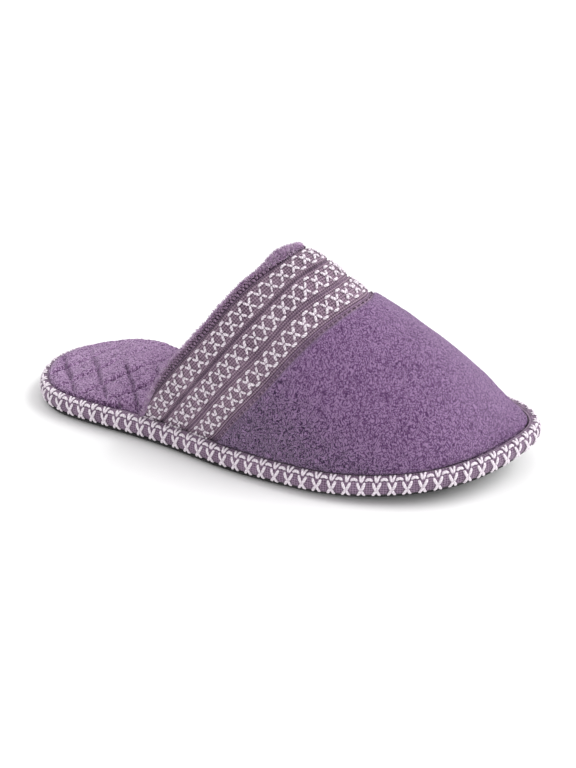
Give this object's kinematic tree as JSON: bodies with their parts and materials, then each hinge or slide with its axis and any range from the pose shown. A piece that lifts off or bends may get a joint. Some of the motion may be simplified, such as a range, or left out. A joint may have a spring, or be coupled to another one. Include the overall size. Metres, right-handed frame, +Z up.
{
  "type": "scuff slipper",
  "caption": "Open-back house slipper for the right foot: terry vamp with woven tapes along its slanted collar, padded insole, bound edge and thin rubber sole.",
  "frame": {"origin": "centre of the bounding box at floor level, under the sole", "axes": "+X from the heel to the toe, +Y to the inner side of the foot, +Z up"},
  "size_m": [0.2632, 0.1, 0.1079],
  "materials": {
    "rubber": "matt near-black rubber with a fine tread",
    "edge_tape": "matt mauve tape with an off-white woven chain pattern",
    "insole_terry": "matt purple terry, quilted in diamonds",
    "vamp_terry": "matt purple terry with a short looped pile",
    "woven_tape": "matt mauve ribbed tape with an off-white woven chain pattern"
  },
  "bodies": {
    "root": {"outsole": "rubber", "edge_binding": "edge_tape", "insole": "insole_terry", "upper": "vamp_terry", "collar_tape": "woven_tape", "middle_tape": "woven_tape", "front_tape": "woven_tape"}
  },
  "joints": []
}
